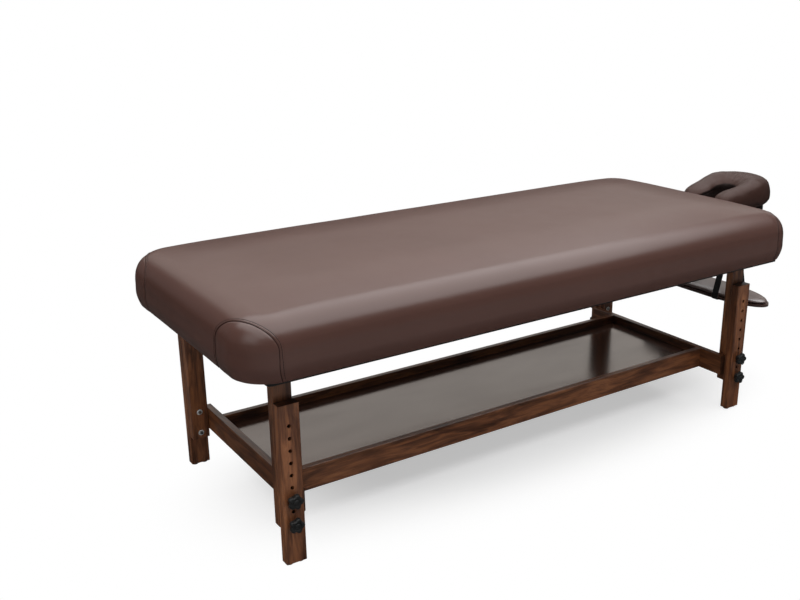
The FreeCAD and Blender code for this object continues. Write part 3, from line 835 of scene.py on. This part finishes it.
def inflate(made, rest_z, cap, pressure, even, frames=20):
    """Cloth under pressure, its flat foot held; movement is capped and written into the mesh."""
    mesh = made.data
    before = coords_of(mesh)
    held = made.vertex_groups.new(name="held")
    held.add([int(i) for i in np.nonzero(before[:, 2] < rest_z)[0]], 1.0, "REPLACE")
    cloth = made.modifiers.new("puff", "CLOTH")
    settings = cloth.settings
    for key, value in CLOTH.items():
        setattr(settings, key, value)
    settings.uniform_pressure_force = pressure
    settings.effector_weights.gravity = 0.0
    cloth.collision_settings.use_collision = False
    for step in range(1, frames + 1):
        scene.frame_set(step)
    graph = bpy.context.evaluated_depsgraph_get()
    after = coords_of(made.evaluated_get(graph).to_mesh())
    made.evaluated_get(graph).to_mesh_clear()
    made.modifiers.clear()
    made.vertex_groups.clear()
    scene.frame_set(1)
    move = smooth_coords(mesh, after - before, even)
    size = np.linalg.norm(move, axis=1)
    scale = np.where(size > 1e-9, cap * np.tanh(size / cap) / np.maximum(size, 1e-9), 1.0)
    set_coords(mesh, before + move * scale[:, None])


def puffed(made, foot_z, foot_band, foot_lift, rounds, shrink, held, cap, pressure, even, last):
    """Round a remeshed pad off, draw it in, fill it as cloth under pressure, smooth it."""
    mesh = made.data
    co = coords_of(mesh)
    foot = co[:, 2] < foot_z + foot_band
    co = smooth_coords(mesh, co, rounds)
    co[foot, 2] = foot_z + foot_lift
    set_coords(mesh, co)
    set_coords(mesh, co - normals_of(mesh) * shrink * (~foot)[:, None])
    inflate(made, foot_z + held, cap, pressure, even)
    co = smooth_coords(mesh, coords_of(mesh), last)
    set_coords(mesh, co)
    return co


def ease(value, low, high):
    t = np.clip((value - low) / (high - low), 0.0, 1.0)
    return t * t * (3.0 - 2.0 * t)


cushion_low, cushion_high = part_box("cradle_cushion")
CUSHION_FOOT, CUSHION_TOP = cushion_low.z, cushion_high.z
CUSHION_THICK = CUSHION_TOP - CUSHION_FOOT
CUSHION_VOXEL, CUSHION_STILL = 0.0050, 0.002
CUSHION_PUFF = {"foot_band": 0.002, "foot_lift": 0.0004, "rounds": 14, "shrink": 0.0025,
                "held": 0.003, "cap": 0.0075, "pressure": 4.0, "even": 0, "last": 3}
SLOT_END = cushion_low.x + 0.116
SLOT_CLOSE, SLOT_HALF, CLOSE_WIDE, CLOSE_HIGH = 0.0100, 0.044, 0.034, 0.35
MOUTH_FROM, MOUTH_RUN = 0.020, 0.050
CREASE, CREASE_COUNT, CREASE_FAN, CREASE_BEND = 0.0017, 17.0, 0.80, ((1.4, 9.0, 3.0),)
CREASE_AT, CREASE_WIDE, CREASE_TOP, CREASE_RUN = 0.074, 0.026, 0.030, 0.022
CUSHION_WAVES = ((0.0009, 26.0, 5.0), (0.0004, 60.0, 9.0))
GROOVE, GROOVE_UP, GROOVE_WIDE = 0.0014, 0.030, 0.0026
CREST_LIFT, RIM_DIP, FOOT_FULL, RIM_FULL = 0.0085, 0.0060, 1.25, 0.45
RIM_SPAN, RISE_SPAN, FULL_SPAN = (0.020, 0.078), (0.30, 0.80), (0.030, 0.075)
CUSHION_TAPER, TAPER_POWER, TAPER_END = 0.40, 1.1, SLOT_END + 0.05
# Spans of the mask that puts near-black painted shade on the slot's inner walls.
WALL_SPAN, SLOT_SPAN = (0.80, 0.96), (0.046, 0.056)


def headrest_cushion():
    """Horseshoe with a narrow slot, creases round its closed end and arms that thin out."""
    made = remeshed("cradle_cushion", "headrest_cushion", CUSHION_VOXEL, CUSHION_LEATHER)
    mesh = made.data
    co = puffed(made, CUSHION_FOOT, **CUSHION_PUFF)
    normal = normals_of(mesh)
    lift = np.zeros(len(co))
    slide = np.zeros((len(co), 2))
    for i, p in enumerate(co):
        away = Vector((p[0] - min(p[0], SLOT_END), p[1]))
        reach = away.length
        high = clamp((p[2] - CUSHION_FOOT) / CUSHION_THICK)
        close = SLOT_CLOSE * bell(reach - SLOT_HALF, CLOSE_WIDE) * min(high / CLOSE_HIGH, 1.0)
        close *= clamp((p[0] - cushion_low.x - MOUTH_FROM) / MOUTH_RUN)
        slide[i] = -away * (close / max(reach, TINY))
        turn = math.atan2(p[1], p[0] - SLOT_END)
        crease = math.sin(turn * CREASE_COUNT + waves(p, CREASE_BEND)) * bell(turn, CREASE_FAN)
        crease *= clamp((p[2] - CUSHION_TOP + CREASE_TOP) / CREASE_RUN)
        lift[i] += CREASE * crease * bell(reach - CREASE_AT, CREASE_WIDE)
        lift[i] += waves(p, CUSHION_WAVES)
        lift[i] -= GROOVE * bell(p[2] - CUSHION_FOOT - GROOVE_UP, GROOVE_WIDE)
    lift[co[:, 2] < CUSHION_FOOT + CUSHION_STILL] = 0.0
    co = co + normal * lift[:, None]
    co[:, :2] += slide
    high = np.clip((co[:, 2] - CUSHION_FOOT) / CUSHION_THICK, 0.0, None)
    away = np.stack((co[:, 0] - np.minimum(co[:, 0], SLOT_END), co[:, 1]), axis=1)
    reach = np.linalg.norm(away, axis=1)
    rim = 1.0 - ease(reach, *RIM_SPAN)
    rise = ease(high, *RISE_SPAN) * (CREST_LIFT - (CREST_LIFT + RIM_DIP) * rim)
    full = RIM_FULL + (FOOT_FULL - RIM_FULL) * ease(reach, *FULL_SPAN)
    thick = CUSHION_THICK * high ** full + rise
    share = np.clip((TAPER_END - co[:, 0]) / (TAPER_END - cushion_low.x), 0.0, 1.0)
    co[:, 2] = CUSHION_FOOT + thick * (1.0 - CUSHION_TAPER * share ** TAPER_POWER)
    set_coords(mesh, co)
    # Mark the slot's inner walls, which lie in shadow, for near-black painted shade.
    inward = -(normals_of(mesh)[:, :2] * away).sum(axis=1) / np.maximum(reach, TINY)
    slot_shade = ease(inward, *WALL_SPAN) * (1.0 - ease(reach, *SLOT_SPAN))
    mesh.attributes.new("slot_shade", "FLOAT", "POINT").data.foreach_set("value", slot_shade)
    refine(made)
    return made


cushion = headrest_cushion()
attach(cushion, "headrest")
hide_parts("cradle_cushion")

sling_low, sling_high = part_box("sling_pad")
SLING_FOOT = sling_low.z
SLING_VOXEL, SLING_STILL = 0.0042, 0.001
SLING_PUFF = {"foot_band": 0.0015, "foot_lift": 0.0003, "rounds": 8, "shrink": 0.0020,
              "held": 0.002, "cap": 0.0050, "pressure": 3.0, "even": 60, "last": 16}
SLING_WAVES = ((0.0005, 9.0, 6.0), (0.0001, 40.0, 1.0))


def sling_cushion():
    """Flat pad of the arm sling, softly filled."""
    made = remeshed("sling_pad", "arm_sling_pad", SLING_VOXEL, SLING_LEATHER)
    mesh = made.data
    co = puffed(made, SLING_FOOT, **SLING_PUFF)
    lift = np.array([waves(p, SLING_WAVES) for p in co])
    lift[co[:, 2] < SLING_FOOT + SLING_STILL] = 0.0
    set_coords(mesh, co + normals_of(mesh) * lift[:, None])
    refine(made)
    return made


sling = sling_cushion()
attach(sling, "sling")
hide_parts("sling_pad")

# ---- webbing straps of the arm sling
rod_low, rod_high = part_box("cradle_tilt_rod")
PIVOT_X, PIVOT_Z = (rod_low.x + rod_high.x) / 2, (rod_low.z + rod_high.z) / 2
ROD_R, ROD_STEPS = 0.005, 12
STRAP_Y, STRAP_W, STRAP_T, STRAP_GAP = 0.105, 0.025, 0.0020, 0.0003
SLING_HALF = (sling_high.x - sling_low.x) / 2
STRAP_CORNER_Z = sling_high.z - 0.011
STRAP_CORNER_R, CORNER_STEPS, STRAP_STEP, ACROSS_STEPS = 0.004, 6, 0.006, 10
SELVEDGE, EDGE_THICK, EDGE_GAIN = 0.06, 0.55, 0.45
FLANK_OUT, FLANK_LOW, FLANK_HIGH = 0.02, 0.40, 0.50
OVERLAP_T, OVERLAP_LIFT = 0.0016, 0.0018
BOX_INSET, BOX_EDGE, BOX_LIFT, BOX_PITCH = 0.006, 0.003, 0.0027, 0.0042
BOX_STITCH, BOX_STITCH_R = 0.0031, 0.00042
BOARD_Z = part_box("sling_board")[0].z


def rounded(points, radius):
    """Closed polyline with its corners rounded."""
    made = []
    count = len(points)
    for i, p in enumerate(points):
        before = points[i - 1] - p
        after = points[(i + 1) % count] - p
        cut = min(radius, 0.45 * before.length, 0.45 * after.length)
        a, b = p + before.normalized() * cut, p + after.normalized() * cut
        for k in range(CORNER_STEPS + 1):
            t = k / CORNER_STEPS
            made.append(a * (1 - t) ** 2 + p * (2 * t * (1 - t)) + b * t ** 2)
    return made


def strap_path():
    """Middle line of one loop in (x, z): round the rod, down both flanks, under the board."""
    gap = STRAP_GAP + STRAP_T / 2
    r, half, low = ROD_R + gap, SLING_HALF + gap, BOARD_Z - gap
    drop = PIVOT_Z - STRAP_CORNER_Z
    lean = math.atan2(half, drop) + math.asin(r / math.hypot(half, drop))
    loop = []
    for k in range(ROD_STEPS + 1):
        turn = math.pi - lean - (math.pi - 2 * lean) * k / ROD_STEPS
        loop.append(Vector((PIVOT_X + r * math.cos(turn), PIVOT_Z + r * math.sin(turn))))
    corners = [Vector((PIVOT_X + half, STRAP_CORNER_Z)), Vector((PIVOT_X + half, low)),
               Vector((PIVOT_X - half, low)), Vector((PIVOT_X - half, STRAP_CORNER_Z))]
    bends = rounded([loop[-1]] + corners + [loop[0]], STRAP_CORNER_R)
    path = loop + bends[CORNER_STEPS + 1:-CORNER_STEPS - 1]
    fine = []
    for a, b in zip(path, path[1:] + path[:1]):
        parts = max(1, int((b - a).length / STRAP_STEP))
        fine += [a.lerp(b, k / parts) for k in range(parts)]
    return fine


def ribbon(name, path, middle_y, closed, thick, lift):
    """Flat webbing with thin selvedges along a path in the x-z plane."""
    shares = [k / ACROSS_STEPS - 0.5 for k in range(ACROSS_STEPS + 1)]
    section = [(share, 0.5) for share in shares] + [(-share, -0.5) for share in shares]
    verts, along_values, across_values = [], [], []
    count = len(path)
    run = 0.0
    for i, p in enumerate(path):
        before = path[i - 1] if closed or i else p
        after = path[(i + 1) % count] if closed or i < count - 1 else p
        tangent = (after - before).normalized()
        out = Vector((-tangent.y, tangent.x))
        if i:
            run += (p - path[i - 1]).length
        for across, through in section:
            edge = clamp((0.5 - abs(across)) / SELVEDGE)
            depth = thick * through * (EDGE_THICK + EDGE_GAIN * math.sqrt(edge))
            at = p + out * (depth + lift)
            verts.append((at.x, middle_y + across * STRAP_W, at.y))
            along_values.append(run)
            across_values.append(across * STRAP_W)
    ring = len(section)
    if closed:
        faces = [tuple(i % len(verts) for i in f) for f in tube_faces(count + 1, ring)]
    else:
        faces = capped_faces(count, ring)
    made = piece(name, verts, faces, "sling", "webbing", WEBBING)
    for label, values in (("along", along_values), ("across", across_values)):
        made.data.attributes.new(label, "FLOAT", "POINT").data.foreach_set("value", values)
    return made


loop_path = strap_path()
for side, sy in SIDES:
    strap = ribbon("sling_strap_" + side, loop_path, sy * STRAP_Y, True, STRAP_T, 0.0)
    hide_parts("sling_straps")
    flank = [p for p in loop_path if p.x < PIVOT_X - FLANK_OUT and FLANK_LOW < p.y < FLANK_HIGH]
    flank.sort(key=lambda p: p.y)
    ribbon("strap_overlap_" + side, flank, sy * STRAP_Y, False, OVERLAP_T, OVERLAP_LIFT)
    along = (flank[-1] - flank[0]).normalized()
    up = Vector((-along.y, 0.0, along.x))
    a, b = flank[0] + along * BOX_INSET, flank[-1] - along * BOX_INSET
    reach = STRAP_W / 2 - BOX_EDGE
    box = [Vector((q.x, sy * STRAP_Y + s * reach, q.y)) for q, s in
           ((a, -1), (b, -1), (b, 1), (a, -1), (a, 1), (b, -1), (b, 1), (a, 1))]
    verts, faces = [], []
    for p, q in zip(box, box[1:]):
        for middle, tangent in walk([p, q], BOX_PITCH):
            capsule(verts, faces, middle + up * BOX_LIFT, tangent, up, BOX_STITCH, BOX_STITCH_R)
    piece("strap_stitch_" + side, verts, faces, "sling", "webbing", BLACK_THREAD)


# ---- star knobs, inserts and glides
def lathe(profile, sides, make_faces, place):
    """Rings of (radius, height) turned round an axis; place maps (x, y, height) into the part."""
    verts = [place(radius * u, radius * v, height)
             for radius, height in profile for u, v in cosines(sides)]
    return verts, make_faces(len(profile), sides)


# Rings of (kind, height, size) in mm: a round ring's size is its radius, a neck ring's its
# least radius, and a lobed ring's a share of the grip's outline.
ROUND, NECK, LOBED = range(3)
KNOB_SIDES, KNOB_LOBES = 80, 5
KNOB_VALLEY, KNOB_TIP, TIP_POWER, NECK_LOBE = 14.6, 5.4, 0.72, 0.12
KNOB_RINGS = (
    (ROUND, 0.0, 9.6), (ROUND, 0.6, 10.0), (ROUND, 5.2, 9.6), (NECK, 6.6, 10.4),
    (LOBED, 7.6, 0.92), (LOBED, 8.6, 0.975), (LOBED, 10.0, 1.0), (LOBED, 13.5, 1.0),
    (LOBED, 16.4, 1.0), (LOBED, 18.2, 0.985), (LOBED, 19.4, 0.945), (LOBED, 20.0, 0.87),
    (LOBED, 20.1, 0.72), (ROUND, 19.9, 8.6), (ROUND, 19.3, 8.2), (ROUND, 19.2, 7.4),
    (ROUND, 20.2, 7.0), (ROUND, 20.6, 6.2), (ROUND, 20.8, 3.0), (ROUND, 20.85, 0.4))


def knob_radius(kind, size, turn):
    """Radius of a knob's ring: round lobe tips and shallow valleys where it is lobed."""
    wave = 0.5 + 0.5 * math.cos(KNOB_LOBES * turn)
    grip = KNOB_VALLEY + KNOB_TIP * wave ** TIP_POWER
    if kind == LOBED:
        return grip * size
    return size + NECK_LOBE * (grip - KNOB_VALLEY) if kind == NECK else size


def star_knob(name, x, y, z, sy, body, node):
    """Five-lobed grip on a collar, facing away from the leg."""
    verts = []
    for kind, height, size in KNOB_RINGS:
        for k in range(KNOB_SIDES):
            turn = 2 * math.pi * k / KNOB_SIDES
            radius = knob_radius(kind, size, turn) * MM
            verts.append((x + radius * math.cos(turn), y + sy * height * MM,
                          z + radius * math.sin(turn)))
    faces = capped_faces(len(KNOB_RINGS), KNOB_SIDES)
    if sy > 0:
        faces = [tuple(reversed(f)) for f in faces]
    made = piece(name, verts, faces, body, "black_plastic", PLASTIC)
    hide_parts(node)


LEG_X, LEG_OUT_Y, LEG_IN_Y = 0.795, 0.3255, 0.2695
KNOB_Z = (("upper", 0.178), ("lower", 0.114))
# Profiles of (radius, height) in mm.
GLIDE_PROFILE = ((0.0, 6.0), (7.6, 6.0), (8.2, 5.2), (9.0, 4.4), (9.0, 1.8),
                 (8.3, 0.6), (7.0, 0.0), (3.4, 0.0), (3.0, 0.8), (0.2, 0.9))
INSERT_PROFILE = ((4.2, 0.2), (4.2, -1.0), (5.0, -1.35), (7.6, -1.2), (8.4, -0.6), (8.5, 0.2))
GLIDE_SIDES, INSERT_SIDES, GLIDE_SHIFT = 36, 40, 0.014
for place, sx, sy in CORNERS:
    leg_x = TABLE_X + sx * LEG_X
    for level, z in KNOB_Z:
        spot = level + "_" + place
        star_knob("star_knob_" + spot, leg_x, sy * LEG_OUT_Y, z, sy,
                  "knob_turn_" + spot, "knob_" + spot)
        insert = lathe(INSERT_PROFILE, INSERT_SIDES, tube_faces, lambda u, v, h: (
            leg_x + u * MM, sy * (LEG_IN_Y + h * MM), z + v * MM))
        piece("stud_insert_" + spot, *insert, "table", "steel", INSERT_PAINTED_REFLECTION)
    low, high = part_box("foot_glides_" + place)
    verts, faces = [], []
    for shift in (-GLIDE_SHIFT, GLIDE_SHIFT):
        more, extra = lathe(GLIDE_PROFILE, GLIDE_SIDES, capped_faces, lambda u, v, h: (
            (low.x + high.x) / 2 + shift + u * MM, (low.y + high.y) / 2 + v * MM, h * MM))
        base = len(verts)
        verts += more
        faces += [tuple(base + i for i in f) for f in extra]
    glides = piece("leg_glides_" + place, verts, faces, "leg_" + place, "black_plastic", GLIDE)
    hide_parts("foot_glides_" + place)


# ---- floor, backdrop and light
FLOOR_SQUASH, FLOOR_NEAR, FLOOR_FAR = (0.77, 1.82, 0.0), 0.42, 0.98
FLOOR_SEEN, FLOOR_LIFT = 0.68, 0.473


def floor_look():
    """Pale floor that keeps the shadow near the part and runs out to white."""
    look = Look("floor")
    direct, mirrored = look.ray_kinds()
    away = look.add("VectorMath", {0: look.stretch(look.place, FLOOR_SQUASH)}, operation="LENGTH")
    far = look.span(away.outputs["Value"], FLOOR_NEAR, FLOOR_FAR)
    base = look.mix(look.noise(40.0, 4.0), grey(0.72), grey(0.74))
    base = look.mix(direct, base, grey(FLOOR_SEEN))
    dim = look.mix(look.span(look.part_of(look.place, 1), -2.4, -0.6), grey(0.30), grey(0.05))
    base = look.mix(mirrored, base, dim)
    diffuse = look.out("BsdfDiffuse", {"Color": base, "Roughness": 0.4})
    glow = look.times(direct, FLOOR_LIFT)
    lift = look.out("Emission", {"Color": grey(1.0), "Strength": glow})
    near = look.out("AddShader", {0: diffuse, 1: lift})
    white = look.out("Emission", {"Color": grey(1.0), "Strength": 1.0})
    fade = look.times(direct, far)
    shader = look.out("MixShader", {0: fade, 1: near, 2: white})
    return look.surface(shader)


BACK_Y, BACK_LEFT, BACK_RIGHT = 9.0, -2.6, 26.0
BACK_LOW, BACK_DARK, BACK_PALE, BACK_FADE, BACK_TOP = 1.8, 2.1, 5.0, 5.5, 7.8


def backdrop_look():
    """Pale cloth behind the part: white to the eye, warm and fading in reflections, no light."""
    look = Look("backdrop")
    direct, mirrored = look.ray_kinds()
    height = look.part_of(look.place, 2)
    paler = look.span(height, BACK_DARK, BACK_PALE, 0.05, 1.0)
    paler = look.times(paler, look.span(height, BACK_FADE, BACK_TOP, 1.0, 0.0))
    seen = look.math("MAXIMUM", direct, look.times(mirrored, paler))
    tint = look.mix(mirrored, grey(1.0), (0.98, 0.94, 0.89))
    white = look.out("Emission", {"Color": tint, "Strength": seen})
    return look.surface(white)


def stage_plane(name, corners, material):
    """Four-cornered sheet of the stage, no part of the table."""
    made = mesh_object(name, corners, [range(4)], material)


FLOOR_HALF = 400.0
stage_plane("floor", [(x * FLOOR_HALF, y * FLOOR_HALF, 0.0)
                      for x, y in ((-1, -1), (1, -1), (1, 1), (-1, 1))], floor_look())
stage_plane("backdrop", [(BACK_LEFT, BACK_Y, BACK_LOW), (BACK_RIGHT, BACK_Y, BACK_LOW),
                         (BACK_RIGHT, BACK_Y, BACK_TOP), (BACK_LEFT, BACK_Y, BACK_TOP)],
            backdrop_look())

ROOM_LIGHT = 0.15


def studio_world():
    """White to the eye and a dim even room to all other rays."""
    world = bpy.data.worlds.new("studio")
    scene.world = world
    world.use_nodes = True
    look = Nodes(world.node_tree)
    direct, _ = look.ray_kinds()
    room, white = (look.out("Background", {"Color": grey(1.0), "Strength": strength})
                   for strength in (ROOM_LIGHT, 1.0))
    blend = look.out("MixShader", {0: direct, 1: room, 2: white})
    look.add("OutputWorld", {"Surface": blend})


studio_world()


def softbox(name, place, aim, width, height, power):
    """Large soft light that faces a point of the part."""
    data = bpy.data.lights.new(name, "AREA")
    data.shape = "RECTANGLE"
    data.size = width
    data.size_y = height
    data.energy = power
    lamp = placed(name, data)
    turn = (Vector(aim) - Vector(place)).to_track_quat("-Z", "Y")
    lamp.matrix_world = Matrix.Translation(place) @ turn.to_matrix().to_4x4()
    lamp.visible_camera = False


softbox("key", (0.3, -0.15, 3.0), aim=(0.3, -0.15, 0.0), width=6.0, height=5.2, power=215.0)
softbox("side", (-3.4, -1.2, 2.20), aim=(-0.93, -0.35, 0.60), width=2.0, height=1.7, power=12.5)
